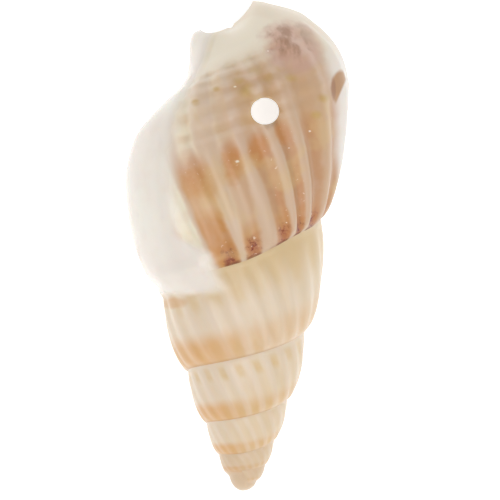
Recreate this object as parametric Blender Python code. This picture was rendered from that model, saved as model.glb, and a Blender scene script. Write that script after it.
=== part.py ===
"""A drilled nassa-type shell, 30 mm long, lying on its mouth.

The shell is modelled as it grew. A profile of the wall, from the seam with the whorl before it to the
front end, is carried round the axis of coiling while it gets larger, and the seam of each turn is
stitched to the turn before it. The hollow of the last whorls, the notch at the front end and the
drilled hole are then cut out of that body.

Growth frame: +Y is the axis of coiling and points to the front end, +X is the side of the outer lip,
and +Z is the back, which is the side with the drilled hole. Growth is counted in turns: 0 at +X on
the last whorl, and less than 0 further back towards the tip.
"""

import math

import bmesh
import bpy
from mathutils import Euler, Matrix, Vector

MM = 0.001

# Growth
GROWTH_PER_TURN = 1.667
SEAM_AT_ZERO = 17.4 * MM
TIP_RADIUS = 0.40 * MM
TIP_REACH = 5.0 * MM
TIP_POLE = 0.62 * MM
TIP_ROUNDING = 1.3
FIRST_TURN = -5.2
LIP_TURN = 0.13
STEPS_PER_TURN = 100

# Seam radius = distance * (SLOPE - FLATTENING * distance), and a little more near the tip
SLOPE = 0.487
FLATTENING = 10.86

# The spire bends a little towards the lip side, most between these distances
AXIS_BEND = 0.12 * MM
BEND_START = 2.5 * MM
BEND_END = 6.5 * MM

# Wall from seam to seam, as shares of the way
WALL_STATIONS = (0.0, 0.07, 0.22, 0.48, 0.78, 1.0)
WHORL_BULGE = 2.9 * MM

# Last whorl, every quarter turn: the bulge of its wall, and its outline (radius, distance) in
# millimetres from the corner below the wall to just before the front pole.
LAST_WHORL_TURNS = (-1.0, -0.75, -0.5, -0.25, 0.0, 0.25)
LAST_WHORL_BULGES = (1.8, 1.2, 1.9, 1.7, 1.4, 1.2)
LAST_WHORL_OUTLINES = (
    ((5.26, 17.4), (4.3, 18.9), (2.8, 20.6), (1.5, 22.7), (0.95, 25.2), (0.8, 27.6)),
    ((4.4, 19.0), (3.9, 21.0), (3.1, 22.8), (2.2, 24.7), (1.8, 26.6), (1.5, 28.3)),
    ((6.35, 20.3), (5.7, 22.4), (4.2, 24.0), (2.6, 25.2), (2.3, 26.8), (2.0, 28.9)),
    ((6.3, 22.6), (5.9, 24.7), (5.0, 26.2), (3.9, 27.2), (2.9, 28.1), (1.7, 28.8)),
    ((7.18, 25.4), (6.75, 27.3), (5.7, 28.8), (4.2, 29.85), (2.8, 30.35), (1.5, 30.5)),
    ((7.25, 26.5), (6.75, 28.3), (5.7, 29.6), (4.4, 30.5), (2.9, 30.9), (1.5, 30.8)),
)
BASE_STATIONS = 10
FRONT_POLE = 29.2 * MM

# Ribs follow the lip's edge, which trails further back towards the front end
LIP_LEAN = 0.07
RIBS_PER_TURN = 20
RIB_PHASE = 0.023
# Where ribs stand closer or further apart: (growth, ribs that the count is ahead by)
RIB_SHIFTS = ((-1.22, 0.0), (-1.08, 0.6), (-0.9, 0.35), (-0.3, 0.2), (-0.16, 0.15), (-0.08, 0.8))
SPIRE_RIB = 0.20 * MM
BODY_RIB = 0.34 * MM
RIB_END = 1.5
RIDGE_HEIGHT = 0.2 * MM

# Callus: smooth layer over the left side of the last whorl, up to a slanting edge on the back
CALLUS_THICKNESS = 0.36 * MM
CALLUS_EDGE_TURN = -0.283
CALLUS_EDGE_SLANT = 13.0
CALLUS_LOW_EDGE = 12.9 * MM

# Hollow
WALL_THICKNESS = 0.62 * MM
PARIETAL_COAT = 0.10 * MM
COLUMELLA_RADIUS = 0.8 * MM
HOLLOW_END = -1.20
HOLLOW_STEPS = 44

# Notch at the front end: an oval that lies slanting
NOTCH_X = -0.26 * MM
NOTCH_Y = 30.48 * MM
NOTCH_LENGTH = 4.3 * MM
NOTCH_WIDTH = 2.1 * MM
NOTCH_SLANT = math.radians(41)

# Drilled hole. The drill nicked the columella behind it.
HOLE_DIAMETER = 1.75 * MM
HOLE_X = 1.87 * MM
HOLE_Y = 23.78 * MM

# How the shell lies
REST_PITCH = math.radians(-1.9)
REST_ROLL = math.radians(-4.9)

SHELL_COLOUR = (0.74, 0.58, 0.42, 1.0)
SHELL_ROUGHNESS = 0.35


def clamp(value, low=0.0, high=1.0):
    return max(low, min(high, value))


def smooth(value):
    """Eases from 0 to 1 as value goes from 0 to 1."""
    x = clamp(value)
    return x * x * (3 - 2 * x)


def mix(a, b, share):
    return a + (b - a) * share


def steps(start, end, count):
    return [mix(start, end, k / count) for k in range(count + 1)]


def spline(points, share):
    """A point on the smooth curve through the points, for a share of 0 to 1 of its spans."""
    spans = len(points) - 1
    place = clamp(share) * spans
    i = min(int(place), spans - 1)
    f = place - i
    before, start, end, after = (points[clamp(i + k, 0, spans)] for k in (-1, 0, 1, 2))
    return tuple(
        0.5 * (2 * s + (e - b) * f + (2 * b - 5 * s + 4 * e - a) * f**2 + (3 * s - b - 3 * e + a) * f**3)
        for b, s, e, a in zip(before, start, end, after)
    )


def seam(turn):
    """(radius, distance) of the seam where the wall of this turn starts."""
    grown = SEAM_AT_ZERO * GROWTH_PER_TURN**turn
    return grown * (SLOPE - FLATTENING * grown) + TIP_RADIUS * math.exp(-grown / TIP_REACH), grown


def last_whorl(turn):
    """The bulge and the outline of the last whorl at this turn. Earlier turns are smaller copies."""
    first, last = LAST_WHORL_TURNS[0], LAST_WHORL_TURNS[-1]
    scale = MM * GROWTH_PER_TURN ** min(turn - first, 0.0)
    share = (turn - first) / (last - first)
    bulge, = spline([(value,) for value in LAST_WHORL_BULGES], share)
    outline = [spline(row, share) for row in zip(*LAST_WHORL_OUTLINES)]
    return bulge * scale, [(radius * scale, distance * scale) for radius, distance in outline]


def surface(turn, along):
    """(radius, distance) of the bare wall.

    along is 0 at the seam, 1 at the next seam or the corner of the last whorl, and 2 at the front pole.
    """
    bulge, outline = last_whorl(turn)
    free = smooth((turn - LIP_TURN + 1) / 0.15)
    bulge = mix(WHORL_BULGE * GROWTH_PER_TURN**turn, bulge, free)
    start = seam(turn)
    corner = tuple(mix(a, b, free) for a, b in zip(seam(turn + 1), outline[0]))

    def wall(share):
        lift = bulge * share**0.55 * (1 - share) ** 0.95
        return mix(start[0], corner[0], share) + lift, mix(start[1], corner[1], share)

    if along <= 1:
        return wall(along)
    pole = FRONT_POLE * GROWTH_PER_TURN ** min(turn - LAST_WHORL_TURNS[0], 0.0)
    points = [wall(0.85), corner, *outline[1:], (0.0, pole)]
    spans = len(points) - 1
    return spline(points, (1 + (along - 1) * (spans - 1)) / spans)


def callus_cover(turn, distance):
    """1 where the callus covers the shell, 0 where it's bare."""
    edge = CALLUS_EDGE_TURN - CALLUS_EDGE_SLANT * (distance - 14.6 * MM)

    def cover(place):
        return smooth((place - LIP_TURN + 1.04) / 0.07) * smooth((edge - place) / 0.03)

    return max(cover(turn), cover(turn + 1)) * smooth((distance - CALLUS_LOW_EDGE) / (0.6 * MM) + 0.5)


def rib_count(chain):
    """A whole number on the crest of each rib, and a half between two ribs."""
    shift = RIB_SHIFTS[-1][1]
    for (start, low), (end, high) in reversed(list(zip(RIB_SHIFTS, RIB_SHIFTS[1:]))):
        if chain < end:
            shift = mix(low, high, smooth((chain - start) / (end - start)))
    return RIBS_PER_TURN * (chain + RIB_PHASE) + shift


def relief(chain, turn, along, distance):
    """Height of the ribs, the ridge round the front end and the callus above the bare wall."""
    wave = math.cos(math.tau * rib_count(chain))
    last = smooth((turn + 1.0) / 0.3)
    height = mix(SPIRE_RIB * GROWTH_PER_TURN ** (turn + 1), BODY_RIB, last)
    ends = smooth(along / 0.07)
    ends *= smooth((1 - along) / 0.22) if chain < LIP_TURN - 1 + LIP_LEAN else smooth((RIB_END - along) / 0.1)
    ends *= 1 - smooth((turn + 0.04) / 0.05)
    callus = callus_cover(turn, distance)
    ridge = RIDGE_HEIGHT * last * max(0.0, 1 - abs(along - RIB_END) / 0.1)
    return 0.5 * height * ends * (1 - callus) * wave + ridge + CALLUS_THICKNESS * callus


def place(turn, radius, distance):
    angle = -math.tau * turn
    bend = AXIS_BEND * smooth(distance / BEND_START) * smooth(2 - distance / BEND_END)
    return Vector((radius * math.cos(angle) + bend, distance, radius * math.sin(angle)))


def chain_at(chain, whole):
    """The points of one growth line, up to the next seam or the whole way to the front pole."""
    alongs = list(WALL_STATIONS)
    if whole:
        alongs += [1 + k / BASE_STATIONS for k in range(1, BASE_STATIONS + 1)]
    lean = LIP_LEAN * (1 - smooth((chain + 0.2) / (LIP_TURN + 0.2)))
    points = []
    for along in alongs:
        turn = chain - lean * along
        radius, distance = surface(turn, along)
        if along < 2:
            radius += relief(chain, turn, along, distance)
        points.append(place(turn, radius, distance))
    return points


def sweep(mesh, stations, points_at, closed=False):
    """Extrudes a chain of edges from station to station. Returns the first and the last chain."""
    def joined(chain):
        ends = chain[1:] + chain[:1] if closed else chain[1:]
        return list(zip(chain, ends))

    chain = [mesh.verts.new(point) for point in points_at(stations[0])]
    first = chain
    edges = [mesh.edges.new(pair) for pair in joined(chain)]
    for station in stations[1:]:
        made = bmesh.ops.extrude_edge_only(mesh, edges=edges)["geom"]
        fresh = {item for item in made if isinstance(item, bmesh.types.BMVert)}
        chain = [
            next(edge.other_vert(vert) for edge in vert.link_edges if edge.other_vert(vert) in fresh)
            for vert in chain
        ]
        for vert, point in zip(chain, points_at(station)):
            vert.co = point
        edges = [mesh.edges.get(pair) for pair in joined(chain)]
    return first, chain


def outer_body():
    """The outside of the shell as a closed body, with a flat face where the mouth will be."""
    mesh = bmesh.new()
    opening = LIP_TURN - 1 + LIP_LEAN
    spire_steps = round((opening - FIRST_TURN) * STEPS_PER_TURN)
    spire = steps(opening - spire_steps / STEPS_PER_TURN, opening, spire_steps)
    sweep(mesh, spire, lambda chain: chain_at(chain, False))
    body = steps(opening, LIP_TURN, round((LIP_TURN - opening) * STEPS_PER_TURN))
    sweep(mesh, body, lambda chain: chain_at(chain, True))
    bmesh.ops.remove_doubles(mesh, verts=mesh.verts, dist=0.002 * MM)
    open_edges = [edge for edge in mesh.edges if edge.is_boundary]
    filled = bmesh.ops.holes_fill(mesh, edges=open_edges, sides=0)["faces"]
    tip = min(filled, key=lambda face: face.calc_center_median().y)
    pole = bmesh.ops.poke(mesh, faces=[tip])["verts"][0]
    pole.co = Vector((0, TIP_POLE, 0))
    spokes = bmesh.ops.subdivide_edges(mesh, edges=pole.link_edges[:], cuts=1)["geom_inner"]
    for vert in {item for item in spokes if isinstance(item, bmesh.types.BMVert)}:
        vert.co.x *= TIP_ROUNDING
        vert.co.z *= TIP_ROUNDING
    bmesh.ops.triangulate(mesh, faces=[face for face in mesh.faces if len(face.verts) > 4])
    bmesh.ops.recalc_face_normals(mesh, faces=mesh.faces)
    return mesh


def hollow_section(turn):
    """A closed loop in the half-plane at this turn: down the outer wall and back up the columella."""
    outer = [surface(min(turn, LIP_TURN), along) for along in steps(0.06, 1.62, 11)]
    inside = []
    for k, (radius, distance) in enumerate(outer):
        before, after = outer[max(k - 1, 0)], outer[min(k + 1, len(outer) - 1)]
        along_r, along_y = after[0] - before[0], after[1] - before[1]
        length = math.hypot(along_r, along_y)
        inside.append((
            max(radius - WALL_THICKNESS * along_y / length, COLUMELLA_RADIUS + 0.3 * MM),
            distance + WALL_THICKNESS * along_r / length,
        ))
    before_it = [surface(turn - 1, along) for along in steps(0.9, 1.95, 40)]

    def inner_radius(distance):
        radius, _ = min(before_it, key=lambda pair: abs(pair[1] - distance))
        if distance > before_it[-1][1]:
            radius = 0.0
        return max(radius + PARIETAL_COAT + CALLUS_THICKNESS, COLUMELLA_RADIUS)

    start, end = inside[-1][1], inside[0][1]
    inner = [(inner_radius(distance), distance) for distance in steps(start, end, 8)]
    loop = inside + inner[:-1]
    return [place(turn, radius, distance) for radius, distance in loop]


def hollow_body():
    mesh = bmesh.new()
    turns = steps(HOLLOW_END, LIP_TURN + 0.05, HOLLOW_STEPS)
    first, last = sweep(mesh, turns, hollow_section, closed=True)
    mesh.faces.new(first)
    mesh.faces.new(last)
    bmesh.ops.recalc_face_normals(mesh, faces=mesh.faces)
    return mesh


def drill(x, y, low, high, width, length, slant=0.0):
    """An upright cylinder, round or oval. A slant turns its length away from +X."""
    mesh = bmesh.new()
    stretched = Matrix.Diagonal((length / width, 1, 1, 1))
    placed = Matrix.Translation((x, y, (low + high) / 2)) @ Matrix.Rotation(slant, 4, "Z") @ stretched
    radius = width / 2
    bmesh.ops.create_cone(
        mesh, cap_ends=True, segments=24, radius1=radius, radius2=radius, depth=high - low, matrix=placed
    )
    return mesh


def cut(target, cutter):
    cutter.parent = target
    cutter.hide_render = True
    cutter.display_type = "WIRE"
    modifier = target.modifiers.new(cutter.name, "BOOLEAN")
    modifier.operation = "DIFFERENCE"
    modifier.solver = "EXACT"
    modifier.object = cutter


def shell_material():
    material = bpy.data.materials.new("shell")
    material.use_nodes = True
    principled = material.node_tree.nodes["Principled BSDF"]
    principled.inputs["Base Color"].default_value = SHELL_COLOUR
    principled.inputs["Roughness"].default_value = SHELL_ROUGHNESS
    return material


def object_of(name, mesh):
    data = bpy.data.meshes.new(name)
    mesh.to_mesh(data)
    mesh.free()
    data.shade_smooth()
    made = bpy.data.objects.new(name, data)
    bpy.context.scene.collection.objects.link(made)
    return made


def lay_down(target):
    """Turns the shell to how it lies, with the origin under the middle of its box."""
    target.rotation_euler = Euler((REST_PITCH, REST_ROLL, 0))
    bpy.context.view_layer.update()
    finished = target.evaluated_get(bpy.context.evaluated_depsgraph_get())
    corners = [target.matrix_world @ vert.co for vert in finished.data.vertices]
    low = Vector(min(corner[k] for corner in corners) for k in range(3))
    high = Vector(max(corner[k] for corner in corners) for k in range(3))
    target.location = Vector((-(low.x + high.x) / 2, -(low.y + high.y) / 2, -low.z))
    print("moved by", [round(value / MM, 3) for value in target.location], "mm")


for old in list(bpy.data.objects):
    bpy.data.objects.remove(old)

shell = object_of("shell", outer_body())
shell.data.materials.append(shell_material())
hollow = object_of("hollow", hollow_body())
notch_size = (NOTCH_WIDTH, NOTCH_LENGTH, NOTCH_SLANT)
notch = object_of("notch", drill(NOTCH_X, NOTCH_Y, -6 * MM, 8 * MM, *notch_size))
hole = object_of("hole", drill(HOLE_X, HOLE_Y, -8 * MM, 12 * MM, HOLE_DIAMETER, HOLE_DIAMETER))
for cutter in (hollow, notch, hole):
    cut(shell, cutter)
lay_down(shell)
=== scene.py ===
# %% [markdown]
# # A drilled whelk shell
#
# This lesson dresses one natural object: a small, tall-spired sea snail shell with a hole drilled through
# its back, so that it can hang as a bead. The solid model of it is already packed as a frame. Here it
# gets a finer surface and the materials that make it look like shell, and then a floor, lights and a
# camera.
#
# The first step loads the frame. The box round the solids is kept, because the finished shell has to stay
# inside it.

# %% Load the frame
import math

import bmesh
import bpy
from mathutils import Euler, Matrix, Vector


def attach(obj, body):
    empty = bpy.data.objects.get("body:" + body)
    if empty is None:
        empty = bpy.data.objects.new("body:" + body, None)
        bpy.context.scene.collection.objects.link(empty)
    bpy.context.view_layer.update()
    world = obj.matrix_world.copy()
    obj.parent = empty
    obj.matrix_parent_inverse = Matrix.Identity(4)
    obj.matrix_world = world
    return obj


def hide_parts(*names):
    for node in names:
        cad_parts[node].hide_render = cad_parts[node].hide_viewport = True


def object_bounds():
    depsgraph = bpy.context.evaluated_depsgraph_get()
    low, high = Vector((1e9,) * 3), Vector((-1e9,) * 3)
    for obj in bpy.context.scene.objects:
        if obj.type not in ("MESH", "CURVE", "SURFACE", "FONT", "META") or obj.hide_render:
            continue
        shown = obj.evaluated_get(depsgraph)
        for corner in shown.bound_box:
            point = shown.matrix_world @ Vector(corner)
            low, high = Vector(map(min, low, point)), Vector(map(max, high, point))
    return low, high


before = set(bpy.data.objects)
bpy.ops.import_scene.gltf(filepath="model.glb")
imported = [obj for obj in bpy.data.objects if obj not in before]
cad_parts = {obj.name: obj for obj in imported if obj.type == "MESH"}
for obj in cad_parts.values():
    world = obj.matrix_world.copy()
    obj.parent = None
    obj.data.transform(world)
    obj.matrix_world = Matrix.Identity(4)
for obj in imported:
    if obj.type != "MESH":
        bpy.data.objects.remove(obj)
cad_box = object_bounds()
MM = 0.001
print("box of the solids in mm", [[round(v / MM, 2) for v in corner] for corner in cad_box])

# %% [markdown]
# ## How a snail builds its shell
#
# A snail adds shell only at its lip. The lip turns round an axis while it gets larger by the same share in
# every turn, so each whorl is a larger copy of the one before it. A lathe can't make that shape, because a
# lathe doesn't grow. We carry a chain of edges round the axis instead, and set its size anew at every
# step.
#
# The growth frame has +Y along the axis towards the front end, +X towards the lip, and +Z out of the back.
# Growth is counted in turns: 0 at +X on the last whorl, and less than 0 towards the tip. On the back, where
# the camera looks, the seams sag a little towards the tip.

# %% Growth
GROWTH_PER_TURN = 1.667
SEAM_AT_ZERO = 17.4 * MM
FIRST_TURN = -5.2
LIP_TURN = 0.13
LIP_LEAN = 0.07
OPENING = LIP_TURN - 1 + LIP_LEAN
SEAM_SAG = 0.65 * MM
SAG_START = -0.55
SAG_END = -0.1
SPIRE_SAG = 0.30 * MM
SPIRE_SAG_START = -4.6
BACK_TURN = -0.25
SLOPE = 0.487
FLATTENING = 10.86
AXIS_BEND = 0.12 * MM
BEND_START = 2.5 * MM
BEND_END = 6.5 * MM
TIP_RADIUS = 0.40 * MM
TIP_REACH = 5.0 * MM


def clamp(value, low=0.0, high=1.0):
    return max(low, min(high, value))


def smooth(value):
    """Eases from 0 to 1 as value goes from 0 to 1."""
    x = clamp(value)
    return x * x * (3 - 2 * x)


def mix(a, b, share):
    return a + (b - a) * share


def steps(start, end, count):
    """Even steps from start to end, both of them included."""
    return [mix(start, end, k / count) for k in range(count + 1)]


def grown(turn):
    """How large the shell is at this turn, with 1 at turn 0."""
    return GROWTH_PER_TURN**turn


def seam(turn):
    """(radius, distance from the tip) of the seam where the wall of this turn starts."""
    sag = SEAM_SAG * smooth((turn - SAG_START) / 0.2) * smooth((SAG_END - turn) / 0.15)
    back = max(0.0, math.cos(math.tau * (turn - BACK_TURN))) if turn < -1 else 0.0
    sag += SPIRE_SAG * back**1.5 * smooth((turn - SPIRE_SAG_START) / 1.2)
    size = SEAM_AT_ZERO * grown(turn) - sag
    return size * (SLOPE - FLATTENING * size) + TIP_RADIUS * math.exp(-size / TIP_REACH), size


print("seam heights in mm", [round(seam(turn)[1] / MM, 1) for turn in range(-5, 1)])

# %% [markdown]
# ## The outline of the last whorl
#
# The early whorls are all the same shape, so one bulge between two seams is enough for them. The last
# whorl isn't: it has a neck on its left, a dome on its right, and a flatter underside. We give its
# outline every quarter turn and let a smooth curve find the outlines between them. A row of outlines goes
# from the corner, where the next seam would be, to the front end, and holds a radius and a distance from
# the tip in millimetres for each point.

# %% Outline at any turn
WHORL_BULGE = 2.9 * MM
LAST_WHORL_TURNS = (-1.0, -0.75, -0.5, -0.25, 0.0, 0.25)
LAST_WHORL_BULGES = (1.8, 1.2, 1.9, 1.7, 1.4, 1.2)
LAST_WHORL_OUTLINES = (
    ((5.26, 17.4), (4.3, 18.9), (2.8, 20.6), (1.5, 22.7), (0.95, 25.2), (0.8, 27.6)),
    ((4.4, 19.0), (3.9, 21.0), (3.1, 22.8), (2.2, 24.7), (1.8, 26.6), (1.5, 28.3)),
    ((6.35, 20.3), (5.7, 22.4), (4.2, 24.0), (2.6, 25.2), (2.3, 26.8), (2.0, 28.9)),
    ((6.3, 22.6), (5.9, 24.7), (5.0, 26.2), (3.9, 27.2), (2.9, 28.1), (1.7, 28.8)),
    ((7.18, 25.4), (6.75, 27.3), (5.7, 28.8), (4.2, 29.85), (2.8, 30.35), (1.5, 30.5)),
    ((7.25, 26.5), (6.75, 28.3), (5.7, 29.6), (4.4, 30.5), (2.9, 30.9), (1.5, 30.8)),
)
FRONT_POLE = 29.2 * MM
BULGE_LOW_POWER = 0.55
BULGE_HIGH_POWER = 0.95
WALL_BEFORE_CORNER = 0.85


def spline(points, share):
    """A point on the smooth curve through the points, for a share of 0 to 1 of its spans."""
    spans = len(points) - 1
    place = clamp(share) * spans
    i = min(int(place), spans - 1)
    f = place - i
    before, start, end, after = (points[clamp(i + k, 0, spans)] for k in (-1, 0, 1, 2))
    return tuple(
        0.5 * (2 * s + (e - b) * f + (2 * b - 5 * s + 4 * e - a) * f**2 + (3 * s - b - 3 * e + a) * f**3)
        for b, s, e, a in zip(before, start, end, after)
    )


def last_whorl(turn):
    """The bulge and the outline of the last whorl at this turn. Earlier turns are smaller copies."""
    first, last = LAST_WHORL_TURNS[0], LAST_WHORL_TURNS[-1]
    scale = MM * grown(min(turn - first, 0.0))
    share = (turn - first) / (last - first)
    bulge, = spline([(value,) for value in LAST_WHORL_BULGES], share)
    outline = [spline(row, share) for row in zip(*LAST_WHORL_OUTLINES)]
    return bulge * scale, [(radius * scale, distance * scale) for radius, distance in outline]


for turn in (-0.5, 0.0):
    corner = last_whorl(turn)[1][0]
    print("corner of the last whorl at turn", turn, "in mm", [round(value / MM, 2) for value in corner])


def surface(turn, along):
    """(radius, distance) of the bare wall.

    along is 0 at the seam, 1 at the next seam or the corner of the last whorl, and 2 at the front pole.
    """
    bulge, outline = last_whorl(turn)
    free = smooth((turn - LIP_TURN + 1) / 0.15)
    bulge = mix(WHORL_BULGE * grown(turn), bulge, free)
    start = seam(turn)
    corner = tuple(mix(a, b, free) for a, b in zip(seam(turn + 1), outline[0]))

    def wall(share):
        lift = bulge * share**BULGE_LOW_POWER * (1 - share) ** BULGE_HIGH_POWER
        return mix(start[0], corner[0], share) + lift, mix(start[1], corner[1], share)

    if along <= 1:
        return wall(along)
    pole = FRONT_POLE * grown(min(turn - LAST_WHORL_TURNS[0], 0.0))
    points = [wall(WALL_BEFORE_CORNER), corner, *outline[1:], (0.0, pole)]
    spans = len(points) - 1
    return spline(points, (1 + (along - 1) * (spans - 1)) / spans)


# %% [markdown]
# ## Ribs, beads, ridge and callus
#
# The ribs are old lips, so they lean as the lip does. Near the front, fine cords run round the whorl and
# cut the ribs into beads, up to a ridge where the neck starts. On the left, the snail has laid a smooth
# white callus over everything, seam included. These are all low relief. We could leave them to bump
# mapping, but then the outline would stay smooth, so they go into the mesh.
#
# The real ribs aren't evenly spaced. A pair in RIB_SHIFTS holds a turn and how far the count of ribs runs
# ahead there.

# %% Relief
RIBS_PER_TURN = 20
RIB_PHASE = 0.023
RIB_SHIFTS = ((-1.22, 0.0), (-1.08, 0.6), (-0.9, 0.35), (-0.3, 0.2), (-0.16, 0.15), (-0.08, 0.8))
SPIRE_RIB = 0.12 * MM
BODY_RIB = 0.34 * MM
RIB_END = 1.5
RIDGE_HEIGHT = 0.2 * MM
CORDS = 11
CORD_HEIGHT = 0.07 * MM
STRIA_HEIGHT = 0.012 * MM
CALLUS_THICKNESS = 0.36 * MM
CALLUS_FILL = 0.5 * MM
CALLUS_EDGE_TURN = -0.27
CALLUS_EDGE_STEP = 0.055
CALLUS_STEP_START = 15.0 * MM
CALLUS_TOE = 0.03
CALLUS_TOE_START = 14.4 * MM
CALLUS_LOW_EDGE = 12.9 * MM
CALLUS_START_FADE = 0.07
CALLUS_EDGE_FADE = 0.05
CALLUS_TOE_FADE = 0.09


def callus_cover(turn, distance):
    """1 where the callus covers the shell, 0 where it's bare."""
    edge = CALLUS_EDGE_TURN - CALLUS_EDGE_STEP * smooth((distance - CALLUS_STEP_START) / (1.6 * MM))
    toe = smooth((CALLUS_TOE_START - distance) / (1.2 * MM))

    def cover(place):
        fade = mix(CALLUS_EDGE_FADE, CALLUS_TOE_FADE, toe)
        right = smooth((edge + CALLUS_TOE * toe - place) / fade)
        return smooth((place - LIP_TURN + 1) / CALLUS_START_FADE) * right

    return max(cover(turn), cover(turn + 1)) * smooth((distance - CALLUS_LOW_EDGE) / (0.6 * MM) + 0.5)


def rib_count(chain):
    """A whole number on the crest of each rib, and a half between two ribs."""
    shift = RIB_SHIFTS[-1][1]
    for (start, low), (end, high) in reversed(list(zip(RIB_SHIFTS, RIB_SHIFTS[1:]))):
        if chain < end:
            shift = mix(low, high, smooth((chain - start) / (end - start)))
    return RIBS_PER_TURN * (chain + RIB_PHASE) + shift


print("ribs in the quarter turn before turn 0", round(rib_count(0.0) - rib_count(-0.25), 1))

# %% [markdown]
# The height of the relief is one sum. Each part of it fades out where the real one does: at the seams, at
# the lip and under the callus.

# %% Height of the relief
SEAM_FADE = 0.07
NEXT_SEAM_FADE = 0.22
FREE_FADE = 0.04
SMOOTH_LIP = -0.04
CORD_START = 0.95
FILL_REACH = 0.16
FILL_START = -0.47


def relief(chain, turn, along, distance):
    """Height of the ribs, cords, ridge and callus above the bare wall.

    It's 0 at both seams, because the next whorl has to meet the same edge. Past the mouth, the far side of a
    growth line is free.
    """
    wave = math.cos(math.tau * rib_count(chain))
    last = smooth((turn + 1.0) / 0.3)
    height = mix(SPIRE_RIB * grown(turn + 1), BODY_RIB, last)
    free = smooth((chain - OPENING) / FREE_FADE)
    seams = smooth(along / SEAM_FADE) * mix(smooth((1 - along) / NEXT_SEAM_FADE), 1.0, free)
    ribs = smooth((RIB_END - along) / 0.1) * (1 - smooth((turn - SMOOTH_LIP) / 0.05))
    callus = callus_cover(turn, distance)
    ridge = RIDGE_HEIGHT * last * max(0.0, 1 - abs(along - RIB_END) / 0.1)
    cord_zone = last * smooth((along - CORD_START) / 0.2) * smooth((RIB_END + 0.03 - along) / 0.1)
    cords = CORD_HEIGHT * cord_zone * math.cos(math.tau * CORDS * along) * smooth((SMOOTH_LIP - turn) / 0.06)
    striae = STRIA_HEIGHT * last * (1 - cord_zone) * math.cos(math.tau * 3 * CORDS * along)
    rough = seams * (0.5 * height * ribs * wave + cords + striae)
    from_seam = min(along, abs(1 - along) if chain < OPENING else 1.0)
    back = smooth((turn - FILL_START + (chain <= OPENING)) / 0.08)
    fill = CALLUS_FILL * smooth(1 - from_seam / FILL_REACH) * back
    return rough * (1 - callus) + ridge + (CALLUS_THICKNESS + fill) * callus


for chain in (-0.26, -0.20, 0.1):
    print("relief at along 0.5 of chain", chain, "in mm", round(relief(chain, chain, 0.5, 20 * MM) / MM, 3))

# %% [markdown]
# ## From chains of edges to a surface
#
# Each growth line is a chain of edges. One bmesh call extrudes the whole chain, and the new vertices then
# move to where the shell has grown to. Every corner of a face also gets four numbers in two UV maps: how
# many turns the shell had grown, how far along the growth line the corner is, the rib it's on, and how much
# callus covers it. The materials read them, so the colours follow the ribs and seams exactly.

# %% Sweep helper
def place(turn, radius, distance):
    """A point of the growth frame. The axis bends a little near the tip."""
    angle = -math.tau * turn
    bend = AXIS_BEND * smooth(distance / BEND_START) * smooth(2 - distance / BEND_END)
    return Vector((radius * math.cos(angle) + bend, distance, radius * math.sin(angle)))


def uv_layers(mesh):
    """The UV maps that hold (turns, along) and (rib count, callus)."""
    return [mesh.loops.layers.uv.get(name) or mesh.loops.layers.uv.new(name) for name in ("growth", "marks")]


def sweep(mesh, stations, points_at, closed=False):
    """Extrudes a chain of edges from station to station. Returns the first and the last chain.

    points_at gives (point, along, marks) for each point of a chain.
    """
    growth, marks_map = uv_layers(mesh)
    grown_at = {}

    def joined(chain):
        ends = chain[1:] + chain[:1] if closed else chain[1:]
        return list(zip(chain, ends))

    chain = None
    for station in stations:
        points = points_at(station)
        if chain is None:
            chain = first = [mesh.verts.new(point) for point, _, _ in points]
            edges = [mesh.edges.new(pair) for pair in joined(chain)]
        else:
            made = bmesh.ops.extrude_edge_only(mesh, edges=edges)["geom"]
            fresh = {item for item in made if isinstance(item, bmesh.types.BMVert)}
            chain = [
                next(edge.other_vert(vert) for edge in vert.link_edges if edge.other_vert(vert) in fresh)
                for vert in chain
            ]
            edges = [mesh.edges.get(pair) for pair in joined(chain)]
        for vert, (point, along, marks) in zip(chain, points):
            vert.co = point
            grown_at[vert] = (station, along), marks
    for vert, (numbers, marks) in grown_at.items():
        for loop in vert.link_loops:
            loop[growth].uv = numbers
            loop[marks_map].uv = marks
    return first, chain


print("a point at turn -0.25 in mm", [round(value / MM, 2) for value in place(-0.25, 5 * MM, 20 * MM)])

# %% [markdown]
# One growth line starts at a seam and runs over the whorl to the next seam. Until the mouth opens it needs
# no more than that, because the next whorl covers the rest. From there on it runs over the base too, down
# to the front end. The last lines are closer together, so that the rim of the lip comes out round.

# %% Growth lines
STEPS_PER_TURN = 300
WALL_ALONGS = [(k / 16) ** 1.25 for k in range(17)]
BASE_ALONGS = steps(1, 2, 40)[1:]
BASE_LEAN_FADE = 0.15
LIP_ROUNDING = 0.27 * MM
LIP_ROUNDING_TURNS = 0.010
LIP_SHARES = (0.8, 0.55, 0.35, 0.2, 0.1, 0.04, 0)


def rounding(turn):
    """How far the rim of the lip is rounded off at this turn, on its outer and its inner side."""
    near = clamp(1 - (LIP_TURN - turn) / LIP_ROUNDING_TURNS)
    return LIP_ROUNDING * (1 - math.sqrt(1 - near * near))


def growth_line(chain, alongs):
    """(point, along, marks) for each point of one growth line."""
    lean = LIP_LEAN * (1 - smooth((chain + 0.2) / (LIP_TURN + 0.2)))
    base_lean = lean * smooth((chain - OPENING) / BASE_LEAN_FADE)
    line = []
    for along in alongs:
        turn = chain - lean * min(along, 1.0) - base_lean * max(along - 1.0, 0.0)
        radius, distance = surface(turn, along)
        if along < 2:
            rim = smooth(along / 0.1) * smooth((1.9 - along) / 0.3)
            radius += relief(chain, turn, along, distance) - rounding(chain) * rim
        line.append((place(turn, radius, distance), along, (rib_count(chain), callus_cover(turn, distance))))
    return line


def stations(start, end):
    """Even steps, and closer ones at the end, so that the lip is round and the seams still meet."""
    count = round((end - start) * STEPS_PER_TURN)
    close = [end - LIP_ROUNDING_TURNS * share for share in LIP_SHARES]
    even = [end - k / STEPS_PER_TURN for k in range(count, 0, -1)]
    return [turn for turn in even if turn < close[0] - 0.0005] + close


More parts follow.
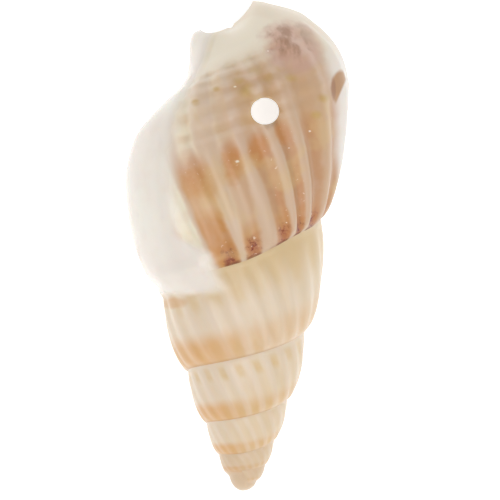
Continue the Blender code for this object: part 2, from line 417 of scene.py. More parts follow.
print("growth lines up to the mouth", len(stations(FIRST_TURN, OPENING)))
print("growth lines past it", len(stations(OPENING, LIP_TURN)))

# %% [markdown]
# The first whorl has to start somewhere. It leaves a gap as wide as the tip, which a small dome closes: its
# rim is extruded inwards, ring by ring, and each ring is narrower and lower than the one before it.

# %% Tip, and the closed outside
TIP_POLE = 0.62 * MM
TIP_STEPS = 8
TIP_KNOB = 0.84


def round_tip(mesh, face):
    """Replaces the face that closes the tip with a small dome, ring by ring."""
    edges = face.edges[:]
    bmesh.ops.delete(mesh, geom=[face], context="FACES_ONLY")
    rings = [(1.0, 1.0)]
    for angle in steps(0, math.pi / 2, TIP_STEPS)[1:]:
        rings.append((TIP_KNOB * math.cos(angle), 1 - math.sin(angle)))
    rings[-1] = (0.0, 0.0)
    for (wide, high), (next_wide, next_high) in zip(rings, rings[1:]):
        made = bmesh.ops.extrude_edge_only(mesh, edges=edges)["geom"]
        fresh = {item for item in made if isinstance(item, bmesh.types.BMVert)}
        for vert in fresh:
            vert.co.x *= next_wide / wide
            vert.co.z *= next_wide / wide
            vert.co.y = mix(TIP_POLE, vert.co.y, next_high / high)
        made_edges = [item for item in made if isinstance(item, bmesh.types.BMEdge)]
        edges = [edge for edge in made_edges if fresh.issuperset(edge.verts)]
        for uv_layer, numbers in zip(uv_layers(mesh), ((FIRST_TURN, 0.5), (0.0, 0.0))):
            for loop in (loop for vert in fresh for loop in vert.link_loops):
                loop[uv_layer].uv = numbers
    bmesh.ops.remove_doubles(mesh, verts=list(fresh), dist=0.001 * MM)


def outer_body():
    """The outside of the shell as a closed body, with a flat face where the mouth will be."""
    mesh = bmesh.new()
    sweep(mesh, stations(FIRST_TURN, OPENING), lambda chain: growth_line(chain, WALL_ALONGS))
    sweep(mesh, stations(OPENING, LIP_TURN), lambda chain: growth_line(chain, WALL_ALONGS + BASE_ALONGS))
    bmesh.ops.remove_doubles(mesh, verts=mesh.verts, dist=0.001 * MM)
    open_edges = [edge for edge in mesh.edges if edge.is_boundary]
    filled = bmesh.ops.holes_fill(mesh, edges=open_edges, sides=0)["faces"]
    round_tip(mesh, min(filled, key=lambda face: face.calc_center_median().y))
    bmesh.ops.triangulate(mesh, faces=[face for face in mesh.faces if len(face.verts) > 4])
    bmesh.ops.recalc_face_normals(mesh, faces=mesh.faces)
    return mesh


closed_outside = outer_body()
print("faces of the closed outside", len(closed_outside.faces))

# %% [markdown]
# ## Hollow, notch and drilled hole
#
# The hollow follows the same spiral, inside the wall on one side and outside the columella and the whorl
# before it on the other. It's swept as a body of its own and taken away from the outside with a Boolean.
# The notch at the front end and the drilled hole are cylinders, taken away in the same way. The hole widens
# a little on its way down, so that no part of the columella shows in it from straight above. Its width and
# length are those in the middle of the cutter, which is under the wall.

# %% Cutters
WALL_THICKNESS = 0.62 * MM
PARIETAL_COAT = 0.10 * MM
COLUMELLA_RADIUS = 0.8 * MM
HOLLOW_END = -1.20
HOLLOW_ALONGS = (0.06, 1.62)
HOLLOW_RIM = (1.0, 0.7, 0.45, 0.25, 0.12, 0.05, 0)
HOLLOW_STEPS = 110
NOTCH = {"middle": (-0.26, 30.48, 1.0), "width": 2.1, "length": 4.3, "depth": 14.0, "slant": 41}
HOLE = {"middle": (1.91, 23.85, 2.0), "width": 1.78, "length": 1.86, "depth": 20.0, "flare": 0.19}


def hollow_section(turn):
    """A closed loop in the half-plane at this turn: down the outer wall and back up the columella."""
    outer = [surface(min(turn, LIP_TURN), along) for along in steps(*HOLLOW_ALONGS, 30)]
    thickness = WALL_THICKNESS - rounding(min(turn, LIP_TURN))
    inside = []
    for k, (radius, distance) in enumerate(outer):
        before, after = outer[max(k - 1, 0)], outer[min(k + 1, len(outer) - 1)]
        along_r, along_y = after[0] - before[0], after[1] - before[1]
        length = math.hypot(along_r, along_y)
        inside.append((
            max(radius - thickness * along_y / length, COLUMELLA_RADIUS + 0.3 * MM),
            distance + thickness * along_r / length,
        ))
    before_it = [surface(turn - 1, along) for along in steps(0.9, 1.95, 60)]

    def inner_radius(distance):
        radius, _ = min(before_it, key=lambda pair: abs(pair[1] - distance))
        if distance > before_it[-1][1]:
            radius = 0.0
        return max(radius + PARIETAL_COAT + CALLUS_THICKNESS, COLUMELLA_RADIUS)

    inner = [(inner_radius(distance), distance) for distance in steps(inside[-1][1], inside[0][1], 22)]
    loop = inside + inner[:-1]
    return [(place(turn, *point), k / len(loop), (0.0, 0.0)) for k, point in enumerate(loop)]


def hollow_body():
    """The hollow as a closed body, which goes on a little past the lip."""
    mesh = bmesh.new()
    rim = [LIP_TURN - LIP_ROUNDING_TURNS * share for share in HOLLOW_RIM]
    turns = steps(HOLLOW_END, rim[0], HOLLOW_STEPS) + rim[1:] + [LIP_TURN + 0.02, LIP_TURN + 0.05]
    first, last = sweep(mesh, turns, hollow_section, closed=True)
    mesh.faces.new(first)
    mesh.faces.new(last)
    bmesh.ops.recalc_face_normals(mesh, faces=mesh.faces)
    return mesh


def drill(middle, width, length, depth, slant=0.0, flare=0.0):
    """An upright cylinder, round or oval, in millimetres and degrees.

    Flare widens its lower end and narrows its upper end.
    """
    mesh = bmesh.new()
    uv_layers(mesh)
    turned = Matrix.Rotation(math.radians(slant), 4, "Z") @ Matrix.Diagonal((length / width, 1, 1, 1))
    bmesh.ops.create_cone(
        mesh, cap_ends=True, segments=64, depth=depth * MM,
        radius1=(width / 2 + flare) * MM, radius2=(width / 2 - flare) * MM,
        matrix=Matrix.Translation(Vector(middle) * MM) @ turned,
    )
    return mesh


print("points in a section of the hollow", len(hollow_section(0.0)))
print("the hole's cutter at its middle in mm", HOLE["width"], "x", HOLE["length"])

# %% [markdown]
# ## One finished mesh
#
# The Booleans are modifiers while the pieces are made, and the result then becomes the shell's own mesh.
# Each cutter brings its own material, so the inside and the drilled edge know what they are.

# %% Cut and apply
def object_of(name, mesh, material):
    """Makes an object of a bmesh, and frees the bmesh."""
    data = bpy.data.meshes.new(name)
    mesh.to_mesh(data)
    mesh.free()
    data.materials.append(material)
    made = bpy.data.objects.new(name, data)
    bpy.context.scene.collection.objects.link(made)
    return made


outside_material = bpy.data.materials.new("ribbed shell")
inside_material = bpy.data.materials.new("mouth enamel")
drilled_material = bpy.data.materials.new("drilled shell")

raw = object_of("raw_shell", closed_outside, outside_material)
cutters = [
    object_of("hollow", hollow_body(), inside_material),
    object_of("notch", drill(**NOTCH), inside_material),
    object_of("hole", drill(**HOLE), drilled_material),
]
for cutter in cutters:
    modifier = raw.modifiers.new(cutter.name, "BOOLEAN")
    modifier.operation = "DIFFERENCE"
    modifier.solver = "EXACT"
    modifier.material_mode = "TRANSFER"
    modifier.object = cutter
finished = raw.evaluated_get(bpy.context.evaluated_depsgraph_get())
shell = bpy.data.objects.new("shell_surface", bpy.data.meshes.new_from_object(finished))
bpy.context.scene.collection.objects.link(shell)
for spare in [raw, *cutters]:
    bpy.data.objects.remove(spare)
shell.data.name = "shell_surface"
print("materials", [material.name for material in shell.data.materials])

# %% [markdown]
# ## Lay the shell down
#
# A shell dropped on a table comes to rest on its lip and its underside, a few degrees off its growth
# frame. The turn goes into the mesh, and the shell is then centred on the box of the solids.

# %% Rest
REST_DEGREES = (-1.9, -4.9, 0)
REST = Euler([math.radians(angle) for angle in REST_DEGREES]).to_matrix()


def box_of(points):
    """The lowest and the highest corner of the box round the points."""
    low = Vector(min(point[k] for point in points) for k in range(3))
    high = Vector(max(point[k] for point in points) for k in range(3))
    return low, high


turned = [REST @ vert.co for vert in shell.data.vertices]
low, high = box_of(turned)
cad_low, cad_high = (Vector(corner) for corner in cad_box)
share = min(1.0, *((cad_high[k] - cad_low[k]) / (high[k] - low[k]) for k in range(3)))
shift = (cad_low + cad_high) / 2 - (low + high) / 2 * share
shift.z = cad_low.z - low.z * share
for vert, point in zip(shell.data.vertices, turned):
    vert.co = point * share + shift
shell.data.shade_smooth()
shell.data.update()
shell.data.calc_loop_triangles()
print("shell triangles", len(shell.data.loop_triangles), "and scale", round(share, 4))


def from_growth(x, y, z):
    """A point of the growth frame, in millimetres, as it lies."""
    return REST @ (Vector((x, y, z)) * MM) * share + shift


hole_middle = from_growth(*HOLE["middle"])
print("middle of the hole's cutter, as it lies, in mm", [round(value / MM, 2) for value in hole_middle])

# %% [markdown]
# ## A small language for materials
#
# Shader maths gets long when every node is made by hand. This class wraps a socket, so that a plain
# expression such as 1 - mask makes its own Math nodes.

# %% Socket maths
class Socket:
    """A value in a material's node tree."""

    def __init__(self, tree, link):
        self.tree = tree
        self.link = link

    def node(self, kind, settings=(), **values):
        """Adds a node. Its settings are set first, and then its sockets get values or links."""
        made = self.tree.nodes.new(kind)
        for name, value in dict(settings).items():
            setattr(made, name, value)
        for name, value in values.items():
            socket = made.inputs[int(name[1:])] if name[1:].isdigit() else made.inputs[name.replace("_", " ")]
            if isinstance(value, Socket):
                self.tree.links.new(value.link, socket)
            else:
                socket.default_value = value
        return made

    def math(self, operation, *values):
        sockets = {"i%d" % k: value for k, value in enumerate(values)}
        return Socket(self.tree, self.node("ShaderNodeMath", {"operation": operation}, **sockets).outputs[0])

    def __add__(self, other):
        return self.math("ADD", self, other)

    def __sub__(self, other):
        return self.math("SUBTRACT", self, other)

    def __rsub__(self, other):
        return self.math("SUBTRACT", other, self)

    def __mul__(self, other):
        return self.math("MULTIPLY", self, other)

    def __truediv__(self, other):
        return self.math("DIVIDE", self, other)

    __radd__ = __add__
    __rmul__ = __mul__

    def cos(self):
        return self.math("COSINE", self)

    def most(self, other):
        return self.math("MAXIMUM", self, other)

    def least(self, other):
        return self.math("MINIMUM", self, other)

    def ramp(self, low, high):
        """0 below low and 1 above high, with an eased step between them. low may be the larger one."""
        made = self.node(
            "ShaderNodeMapRange", {"interpolation_type": "SMOOTHSTEP"},
            i0=self, i1=min(low, high), i2=max(low, high),
            i3=0.0 if low < high else 1.0, i4=1.0 if low < high else 0.0,
        )
        return Socket(self.tree, made.outputs[0])

    def band(self, start, end, soft):
        """1 from start to end, fading to 0 over the soft width on each side."""
        return self.ramp(start - soft, start) * self.ramp(end + soft, end)

    def noise(self, scale, detail=3.0, roughness=0.5, stretch=(1, 1, 1)):
        """Noise of 0 to 1 at self, which is a vector."""
        mapped = self.node("ShaderNodeMapping", i0=self, Scale=stretch)
        made = self.node(
            "ShaderNodeTexNoise", Vector=Socket(self.tree, mapped.outputs[0]),
            Scale=scale, Detail=detail, Roughness=roughness,
        )
        return Socket(self.tree, made.outputs[0])


print("methods of Socket", [name for name in vars(Socket) if not name.startswith("_")])

# %% [markdown]
# Colours are given as they look on a screen, from 0 to 255, and go through Mix nodes. Every material starts
# from the same base: a little light enters the shell and comes out again nearby, and a thin clear coat
# gives it its gloss. A Mix node has sockets for every kind of data, so MIX_COLOURS and MIX_RESULT name the
# ones for colours.

# %% Colours and a material to start from
COAT_ROUGHNESS = 0.12
SPECULAR_LEVEL = 0.35
SUBSURFACE_WEIGHT = 0.35
SUBSURFACE_RADIUS = (1.0, 0.7, 0.5)
SUBSURFACE_SCALE = 0.8 * MM
MIX_COLOURS = (6, 7)
MIX_RESULT = 2


def colour(red, green, blue):
    """An sRGB colour of 0 to 255 as linear light."""
    def linear(value):
        value /= 255
        return value / 12.92 if value <= 0.04045 else ((value + 0.055) / 1.055) ** 2.4
    return (linear(red), linear(green), linear(blue), 1.0)


def blend(mask, under, over):
    """The colour under, with the colour over on top of it where mask is 1."""
    made = mask.node("ShaderNodeMix", {"data_type": "RGBA"}, Factor=mask)
    for value, socket in zip((under, over), (made.inputs[place] for place in MIX_COLOURS)):
        if isinstance(value, Socket):
            mask.tree.links.new(value.link, socket)
        else:
            socket.default_value = value
    return Socket(mask.tree, made.outputs[MIX_RESULT])


def start_material(material, roughness, coat):
    """The material's Principled node, the position, and the four numbers of the UV maps."""
    material.use_nodes = True
    tree = material.node_tree
    principled = tree.nodes["Principled BSDF"]
    principled.inputs["Roughness"].default_value = roughness
    principled.inputs["Coat Weight"].default_value = coat
    principled.inputs["Coat Roughness"].default_value = COAT_ROUGHNESS
    principled.inputs["Specular IOR Level"].default_value = SPECULAR_LEVEL
    principled.inputs["Subsurface Weight"].default_value = SUBSURFACE_WEIGHT
    principled.inputs["Subsurface Radius"].default_value = SUBSURFACE_RADIUS
    principled.inputs["Subsurface Scale"].default_value = SUBSURFACE_SCALE
    maker = Socket(tree, None)
    coordinates = maker.node("ShaderNodeTexCoord")
    position = Socket(tree, coordinates.outputs["Object"])
    numbers = []
    for name in ("growth", "marks"):
        uv = maker.node("ShaderNodeUVMap", {"uv_map": name})
        split = maker.node("ShaderNodeSeparateXYZ", i0=Socket(tree, uv.outputs[0]))
        numbers += [Socket(tree, split.outputs[0]), Socket(tree, split.outputs[1])]
    return principled, position, numbers


def connect(principled, name, value):
    """Links a value to a socket of the Principled node."""
    value.tree.links.new(value.link, principled.inputs[name])


print("callus white as linear light", [round(value, 3) for value in colour(247, 240, 228)])

# %% [markdown]
# Single marks need a place. Both helpers turn a position on the shell back into the growth frame, where the
# photograph can be measured in millimetres.

# %% Places on the shell
def spot(position, centre, radii):
    """The distance from the mark's centre: 0 there, and 1 on an ellipsoid with these radii."""
    middle = from_growth(*centre)
    moved = position.node(
        "ShaderNodeMapping", {"vector_type": "TEXTURE"}, i0=position,
        Location=middle, Rotation=REST.to_euler(), Scale=Vector(radii) * MM,
    )
    moved = Socket(position.tree, moved.outputs[0])
    length = position.node("ShaderNodeVectorMath", {"operation": "LENGTH"}, i0=moved)
    return Socket(position.tree, length.outputs["Value"])


def growth_plane(position):
    """Position along X and Y of the growth frame, in millimetres."""
    back = position.node(
        "ShaderNodeMapping", {"vector_type": "TEXTURE"}, i0=position,
        Location=from_growth(0, 0, 0), Rotation=REST.to_euler(), Scale=(MM, MM, MM),
    )
    split = position.node("ShaderNodeSeparateXYZ", i0=Socket(position.tree, back.outputs[0]))
    return Socket(position.tree, split.outputs[0]), Socket(position.tree, split.outputs[1])


print("front pole, as it lies, in mm", [round(value / MM, 2) for value in from_growth(0, FRONT_POLE / MM, 0)])

# %% [markdown]
# ## The outside
#
# The real shell is cream, with pale ribs and orange gaps between them. A dark granular line follows the
# seam of the last whorl, an orange band follows each seam of the spire, and the callus, the neck and the
# lip are white. Nearly all of it is worked out from the growth numbers, with noise to break it up. Only a
# few single marks are listed one by one. The first cell makes the noises and the ribs that everything else
# is made from.

# %% Ribs and noise for the outside
principled, position, numbers = start_material(outside_material, roughness=0.32, coat=0.2)
turns, along, count, callus = numbers
fine = position.noise(2600, 4, 0.65)
medium = position.noise(620, 3)
broad = position.noise(190, 2)
clouds = position.noise(90, 2)

steeper = count.band(-3.9, -3.1, 0.3) * (along - 0.45).least(0.5)
count_wobbly = count + (medium - 0.5) * 0.22 - 0.45 * steeper
wave = (count_wobbly * math.tau).cos()
gap = wave.ramp(0.9, -0.5)
gap_core = wave.ramp(0.1, -0.95)
soft_gap = wave.ramp(0.9, -0.9) * (0.6 + 0.4 * medium.ramp(0.35, 0.6))
right_of_gap = ((count_wobbly - 0.14) * math.tau).cos().ramp(-0.3, -0.95)
along_wobbly = along + (broad - 0.5) * 0.12 + (medium - 0.5) * 0.08
last = turns.ramp(OPENING - 0.004, OPENING + 0.004)
print("nodes for noise and ribs", len(outside_material.node_tree.nodes))

# %% [markdown]
# The spire is waxy cream. Low on each whorl an orange band starts strong on the left and breaks up into
# spots between the ribs, and a second row of spots follows the upper seam.

# %% Spire colours
WAX, DARK_WAX, WAX_RIB = colour(234, 215, 190), colour(230, 207, 172), colour(237, 220, 207)
YELLOW_WAX, TIP_TAN, SPIRE_SEAM_SHADE = colour(221, 192, 142), colour(215, 184, 150), colour(196, 150, 108)
LOW_BAND, LOW_SPOT, HIGH_SPOT = colour(226, 176, 118), colour(222, 182, 120), colour(224, 190, 128)

spire = blend(clouds.ramp(0.35, 0.65), WAX, DARK_WAX)
spire = blend(wave.ramp(-0.4, 0.9) * broad.ramp(0.3, 0.6) * 0.3, spire, WAX_RIB)
yellow = along_wobbly.ramp(0.5, 0.95) * turns.ramp(-1.4, -1.2)
spire = blend(yellow * 0.75, spire, YELLOW_WAX)
left_side = ((turns + 0.40) * math.tau).cos().ramp(0.35, 0.95)
low_band = along_wobbly.ramp(0.40, 0.20)
spire = blend(low_band * (0.35 + 0.55 * left_side) * (0.85 + 0.15 * soft_gap), spire, LOW_BAND)
low_spots = along_wobbly.band(0.12, 0.16, 0.17) * soft_gap
low_spots = low_spots * (1 - 0.6 * left_side) * broad.ramp(0.25, 0.6)
spire = blend(low_spots * 0.6, spire, LOW_SPOT)
spot_row = 0.81 - 0.11 * turns.ramp(-1.6, -1.4)
high_spots = (along_wobbly - spot_row).band(-0.03, 0.03, 0.14) * soft_gap * wave.ramp(0.4, -0.9)
high_spots = high_spots * turns.ramp(-2.7, -2.4) * (0.6 - 0.3 * turns.ramp(-1.5, -1.3))
spire = blend(high_spots * broad.ramp(0.2, 0.55), spire, HIGH_SPOT)
# Painted shade: the spire darkens a little along each seam, in the crease.
spire = blend(along.ramp(0.03, 0.0) * 0.3, spire, SPIRE_SEAM_SHADE)
spire = blend(turns.ramp(-3.4, -4.6) * 0.6, spire, TIP_TAN)
print("nodes with the spire", len(outside_material.node_tree.nodes))

# %% [markdown]
# The last whorl is richer. Towards the lip the ground turns from cream to tan. Each gap holds a strong
# orange blotch, which stands higher towards the lip. One gap is wider than the others, and the gaps near
# the lip carry a stripe at their right.

# %% Ground and blotches of the last whorl
CREAM, TAN, LIP_GAP, BODY_RIB_TINT = (
    colour(250, 236, 212), colour(209, 173, 136), colour(200, 152, 112), colour(214, 186, 160),
)
BLOTCH, WIDE_HIGH, WIDE_LOW, STRIPE = (
    colour(205, 142, 82), colour(212, 158, 94), colour(206, 144, 74), colour(203, 146, 98),
)

to_lip = count.ramp(-5.2, -2.0)
body = blend(to_lip, CREAM, TAN)
body = blend(gap * along.ramp(1.0, 0.85) * 0.85 * to_lip, body, LIP_GAP)
rib_tint = wave.ramp(-0.2, 0.8) * (0.8 - 0.45 * count.ramp(-1.5, 0.0)) * (1 - 0.3 * along.ramp(0.95, 1.15))
body = blend(rib_tint, body, BODY_RIB_TINT)
visible = count.ramp(-5.25, -4.85)
wide_gap = count_wobbly.band(-4.92, -4.35, 0.22)
blotch_middle = 0.73 + 0.06 * count_wobbly.ramp(-4.1, -3.7) + 0.10 * count.ramp(-3.2, -1.3)
blotch_half = 0.20 - 0.06 * count.ramp(-4.3, -3.2) - 0.04 * count.ramp(-3.0, -2.4)
from_middle = (along_wobbly - blotch_middle) / blotch_half
across_gap = (wave + 1) * (0.4 + 0.5 * count.ramp(-4.2, -3.8))
oval = 1 - from_middle * from_middle - across_gap + (medium - 0.5) * 1.6
blotch = oval.ramp(-1.1, 0.8) * visible * (0.85 + 0.3 * (fine - 0.5))
body = blend(blotch * (1 - 0.75 * count.ramp(-1.8, -0.9)), body, BLOTCH)
body = blend(wide_gap * along_wobbly.ramp(0.85, 0.6) * 0.6, body, WIDE_HIGH)
body = blend(wide_gap * along_wobbly.ramp(0.50, 0.34) * 0.85, body, WIDE_LOW)
stripe = right_of_gap * count.band(-3.0, -0.9, 0.1)
stripe_tint = stripe * along_wobbly.ramp(0.9, 0.75) * (0.3 + 0.4 * medium.ramp(0.35, 0.6))
body = blend(stripe_tint, body, STRIPE)
print("nodes with the blotches", len(outside_material.node_tree.nodes))

# %% [markdown]
# The seam of the last whorl has orange gaps with reddish and dark grains in them. Fine painted highlights
# are scattered over the darker parts: specks of sparkle painted into the base colour.

# %% Seam, grains and fine painted highlights
SEAM_ORANGE, SEAM_LINE, PAINTED_SPARKLE = colour(204, 146, 88), colour(134, 76, 50), colour(250, 232, 212)
GRAIN_RED, GRAIN_DARK = colour(172, 98, 70), colour(134, 62, 42)

seam_orange = along_wobbly.ramp(0.34, 0.14) * gap * visible
body = blend(seam_orange * 0.85, body, SEAM_ORANGE)
grains = along_wobbly.ramp(0.20, 0.05) * gap_core.most(gap * 0.5)
grains = grains * (0.5 + 0.5 * fine.ramp(0.4, 0.6)) * visible
body = blend(grains, body, GRAIN_RED)
body = blend(grains * fine.ramp(0.53, 0.60), body, GRAIN_DARK)
body = blend(along.ramp(0.03, 0.008) * gap * visible * 0.8, body, SEAM_LINE)
# Painted highlights: near-white specks of sparkle in the base colour, over the gaps, stripes and blotches.
painted_sparkles = position.noise(3800, 2, 0.5).ramp(0.66, 0.71)
painted_sparkle_zone = stripe.most(gap_core * along.ramp(0.25, 0.1)).most(blotch * 0.4)
body = blend(painted_sparkles * painted_sparkle_zone * along.ramp(1.0, 0.85) * 0.8, body, PAINTED_SPARKLE)
print("nodes with the seam", len(outside_material.node_tree.nodes))

# %% [markdown]
# Near the front, cords and ribs cross. The beads where they meet are pale, the pits between them are ochre,
# and a few of the pits are clear dots. Each dot has a place on the shell, as an ellipsoid that colours what
# it touches, and so has every other single mark. A row of DOTS gives x and y in the growth frame, in
# millimetres, and a size.

# %% Beads and dots
DOTS = (
    (0.35, 26.3, 0.8), (0.95, 26.95, 1.0), (0.35, 25.8, 0.9), (0.95, 25.2, 1.3),
    (2.2, 25.9, 1.2), (2.95, 26.5, 0.9), (3.55, 25.9, 1.0), (1.35, 26.4, 1.5),
    (-1.0, 25.3, 0.6), (-2.3, 24.5, 0.6), (5.5, 24.6, 0.9), (5.0, 23.6, 0.9),
)
DOT_OCHRE, MOTTLE_YELLOW, MOTTLE_PINK = colour(202, 166, 100), colour(224, 194, 138), colour(216, 184, 164)
PIT, BEAD = colour(208, 164, 108), colour(230, 208, 190)

warp = (medium - 0.5) * 0.8 + (broad - 0.5) * 0.4
dots = None
for x, y, size in DOTS:
    mark = (spot(position, (x, y, 5.0), (0.36 * size, 0.27 * size, 3.0)) + warp * 2).ramp(1.6, 0.1)
    dots = mark if dots is None else dots.most(mark)
body = blend(dots * 0.85, body, DOT_OCHRE)
mottle = position.noise(360, 3, 0.6)
body = blend(mottle.ramp(0.50, 0.66) * 0.35, body, MOTTLE_YELLOW)
body = blend(mottle.ramp(0.48, 0.34) * 0.25, body, MOTTLE_PINK)
cord_wave = ((along + (medium - 0.5) * 0.06) * (math.tau * CORDS)).cos()
bead_zone = along.band(1.03, 1.42, 0.1) * (0.15 + 0.85 * count.ramp(-5.4, -3.6)) * count.ramp(-0.6, -1.6)
pits = cord_wave.ramp(0.9, -0.9) * soft_gap * bead_zone * broad.ramp(0.3, 0.6)
body = blend(pits * 0.5, body, PIT)
beads = cord_wave.ramp(-0.9, 0.9) * wave.ramp(-0.9, 0.9) * bead_zone
body = blend(beads * 0.45, body, BEAD)
print("nodes with the beads", len(outside_material.node_tree.nodes))

# %% [markdown]
# Spire and last whorl now join. The neck and the lip are white, with a mauve stain at the front and a brown
# patch at the lip. The middle and the radii of each mark are in millimetres of the growth frame.

# %% Neck, stain and lip
STAIN = (3.7, 27.85, 3.2), (2.0, 2.0, 5.0)
STAIN_CORE = (3.4, 28.2, 3.2), (1.7, 1.5, 5.0)
LIP_PATCH = (6.7, 25.2, 2.4), (0.75, 1.15, 2.4)
PATCH_EDGE = (6.15, 25.2, 2.6), (0.16, 0.7, 2.4)
NECK_CREAM, LIP_WHITE, LIP_CREAM = colour(243, 231, 210), colour(243, 236, 228), colour(240, 226, 204)
MAUVE, DARK_MAUVE = colour(214, 176, 154), colour(170, 128, 100)
PATCH_BROWN, PATCH_DARK = colour(200, 160, 124), colour(172, 128, 106)

tinted = blend(last, spire, body)
neck = (along + (broad - 0.5) * 0.2).ramp(RIB_END - 0.30, RIB_END + 0.12) * last
tinted = blend(neck, tinted, NECK_CREAM)
streaks = position.noise(1100, 3, 0.5, (1.5, 0.4, 1.0))
stain = (spot(position, *STAIN) + warp).ramp(1.15, 0.65)
tinted = blend(stain * (0.75 + 0.5 * streaks.ramp(0.3, 0.6)).least(1.0) * last, tinted, MAUVE)
core = (spot(position, *STAIN_CORE) + warp * 1.4).ramp(1.2, 0.5)
tinted = blend(core * streaks.ramp(0.42, 0.66) * 0.75 * last, tinted, DARK_MAUVE)
lip_white = (turns - 0.03 * along.ramp(0.6, 0.1) + (medium - 0.5) * 0.008).ramp(-0.045, -0.022)
lip_tint = blend(along.ramp(1.05, 1.4), LIP_WHITE, LIP_CREAM)
tinted = blend(lip_white * (1 - 0.6 * stain) * last, tinted, lip_tint)
across, ahead = growth_plane(position)
left_edge = (across - 6.38 - (ahead - 24.6) * 0.464).ramp(0.12, -0.05)
lip_patch = (spot(position, *LIP_PATCH) + warp * 0.5).ramp(1.1, 0.8) * left_edge
tinted = blend(lip_patch * last, tinted, PATCH_BROWN)
patch_edge = (spot(position, *PATCH_EDGE) + warp * 0.7).ramp(1.2, 0.5)
tinted = blend(patch_edge * 0.6 * last, tinted, PATCH_DARK)
print("nodes with the lip", len(outside_material.node_tree.nodes))

# %% [markdown]
# The callus lies over all of that, as enamel with faint clouds. A warm painted shadow lies under its low
# edge, and a strip of painted shade follows its left edge. The last marks are a few larger painted
# highlights, where the light catches a rib. They are given as the dots are.

# %% Callus, painted shade and painted highlights
UNDER_CALLUS_SHADOW = (-3.95, 12.35, 2.0), (1.1, 0.36, 3.0)
LEFT_SHADE_STRIP = (-5.95, 16.1, 0.6), (0.32, 1.4, 1.4)
PAINTED_HIGHLIGHTS = (
    (0.14, 20.84, 0.13), (0.14, 25.4, 0.09), (2.19, 27.56, 0.07), (3.32, 21.6, 0.07), (4.61, 22.6, 0.08),
)
ENAMEL, COOL_ENAMEL, ENAMEL_CLOUD = colour(247, 240, 228), colour(244, 234, 224), colour(238, 226, 214)
PAINTED_SHADOW_TINT, EDGE_SHADE_TINT, HIGHLIGHT_WHITE = colour(220, 176, 124), colour(196, 160, 130), colour(255, 246, 232)

enamel = blend(broad.ramp(0.35, 0.65), ENAMEL, COOL_ENAMEL)
enamel = blend(medium.ramp(0.45, 0.7) * 0.4, enamel, ENAMEL_CLOUD)
tinted = blend(callus.ramp(0.0, 0.9), tinted, enamel)
# Painted shadow: a warm darker patch under the callus's low edge, at the seam.
painted_shadow_under_callus = (spot(position, *UNDER_CALLUS_SHADOW) + warp).ramp(1.3, 0.5)
tinted = blend(painted_shadow_under_callus * 0.7, tinted, PAINTED_SHADOW_TINT)
# Painted shade: a darker strip along the left edge of the callus.
painted_left_shade = spot(position, *LEFT_SHADE_STRIP).ramp(1.1, 0.6)
tinted = blend(painted_left_shade * 0.4, tinted, EDGE_SHADE_TINT)
# Painted highlights: a few white spots in the base colour, where the light catches a rib.
for x, y, size in PAINTED_HIGHLIGHTS:
    painted_highlight = (spot(position, (x, y, 5.0), (size, 0.6 * size, 3.0)) + (fine - 0.5) * 2.5).ramp(1.3, 0.3)
    tinted = blend(painted_highlight * 0.8, tinted, HIGHLIGHT_WHITE)
connect(principled, "Base Color", tinted)
print("nodes with the callus", len(outside_material.node_tree.nodes))

# %% [markdown]
# A little bump and a roughness that varies keep the gloss from looking like plastic. The callus is the
# glossiest part.

# %% Gloss and bump of the outside
bump_height = fine * 0.4 + medium * 0.6
bump = position.node("ShaderNodeBump", Strength=0.12, Distance=0.05 * MM, Height=bump_height)
connect(principled, "Normal", Socket(position.tree, bump.outputs[0]))
connect(principled, "Roughness", (0.26 + 0.16 * medium) * (1 - 0.35 * callus))
print("nodes of the outside in all", len(outside_material.node_tree.nodes))

# %% [markdown]
# The inside and the drilled edge are plain enamel with faint clouds, so one loop makes both.

# %% Inside and drilled edge
CLOUD = colour(232, 212, 190)
for material, base in ((inside_material, colour(240, 230, 216)), (drilled_material, colour(240, 232, 222))):
    principled, position, _ = start_material(material, roughness=0.25, coat=0.4)
    cloud = position.noise(300, 3)
    connect(principled, "Base Color", blend(cloud.ramp(0.35, 0.7), base, CLOUD))
    print(material.name, len(material.node_tree.nodes), "nodes")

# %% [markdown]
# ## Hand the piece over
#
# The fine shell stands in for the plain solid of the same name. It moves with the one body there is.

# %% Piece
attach(shell, "root")
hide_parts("shell")
print("material slots of the piece", [slot.name for slot in shell.material_slots])

# %% [markdown]
# ## Floor and light
#
# The photograph has a pure white background. A floor that glows a little keeps it white, also where it
# shows through the drilled hole, and leaves a faint shadow.

# %% Floor and world
FLOOR_SIZE = 1.2
FLOOR_GREY = (0.8, 0.8, 0.8, 1)
FLOOR_ROUGHNESS = 0.9
FLOOR_GLOW = 0.6
WHITE = (1, 1, 1, 1)
WORLD_STRENGTH = 0.45

floor_mesh = bmesh.new()
bmesh.ops.create_grid(floor_mesh, x_segments=1, y_segments=1, size=FLOOR_SIZE / 2)
floor_material = bpy.data.materials.new("white floor")
floor_material.use_nodes = True
floor_shader = floor_material.node_tree.nodes["Principled BSDF"]
floor_shader.inputs["Base Color"].default_value = FLOOR_GREY
floor_shader.inputs["Roughness"].default_value = FLOOR_ROUGHNESS
floor_shader.inputs["Emission Color"].default_value = WHITE
floor_shader.inputs["Emission Strength"].default_value = FLOOR_GLOW
floor = object_of("floor", floor_mesh, floor_material)

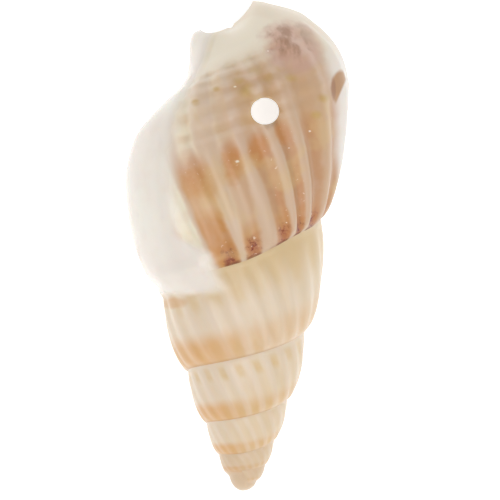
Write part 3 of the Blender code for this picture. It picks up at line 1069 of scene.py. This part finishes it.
world = bpy.data.worlds.new("studio")
bpy.context.scene.world = world
world.use_nodes = True
background = world.node_tree.nodes["Background"]
background.inputs["Color"].default_value = WHITE
background.inputs["Strength"].default_value = WORLD_STRENGTH
bpy.context.scene.view_settings.view_transform = "Standard"
print("floor", FLOOR_SIZE, "m wide")

# %% [markdown]
# The key light stands above the shell, a little to its left, and a weaker fill stands lower on the right,
# beyond the tip. Each row gives a name, the place seen from the shell's middle in metres, the size in
# metres and the power in watts.

# %% Lights
LIGHTS = (
    ("key", (-0.05, -0.03, 0.26), 0.20, 0.26),
    ("fill", (0.12, -0.12, 0.20), 0.20, 0.14),
)
middle = from_growth(0, 15, 0)
for name, offset, size, power in LIGHTS:
    data = bpy.data.lights.new(name, "AREA")
    data.size = size
    data.energy = power
    lamp = bpy.data.objects.new(name, data)
    lamp.location = middle + Vector(offset)
    lamp.rotation_euler = (middle - lamp.location).to_track_quat("-Z", "Y").to_euler()
    bpy.context.scene.collection.objects.link(lamp)
    print(name, "light", round((lamp.location - middle).length, 3), "m from the shell")

# %% [markdown]
# ## Camera
#
# The photograph looks straight at the shell's back, and the axis leans 1.4 degrees to the left in it. A
# long lens keeps the view as flat as the photograph's.

# %% Camera
PHOTO_SIZE = 500
MM_PER_PIXEL = 0.0616
AXIS_LEAN = math.radians(1.43)
AIM = (0.795, 15.46, 0.0)
LENS = 400.0
SENSOR = 36.0
CLIP_START = 0.01

distance = PHOTO_SIZE * MM_PER_PIXEL * MM * LENS / SENSOR
toward = REST @ Vector((0, 0, 1))
up = REST @ Vector((math.sin(AXIS_LEAN), math.cos(AXIS_LEAN), 0))
right = up.cross(toward)
facing = Matrix((right, up, toward)).transposed().to_4x4()
facing.translation = from_growth(*AIM) + toward * distance
camera_data = bpy.data.cameras.new("camera")
camera_data.lens = LENS
camera_data.sensor_width = SENSOR
camera_data.clip_start = CLIP_START
camera = bpy.data.objects.new("camera", camera_data)
camera.matrix_world = facing
bpy.context.scene.collection.objects.link(camera)
bpy.context.scene.camera = camera
print("camera", round(distance, 3), "m from the shell")

# %% [markdown]
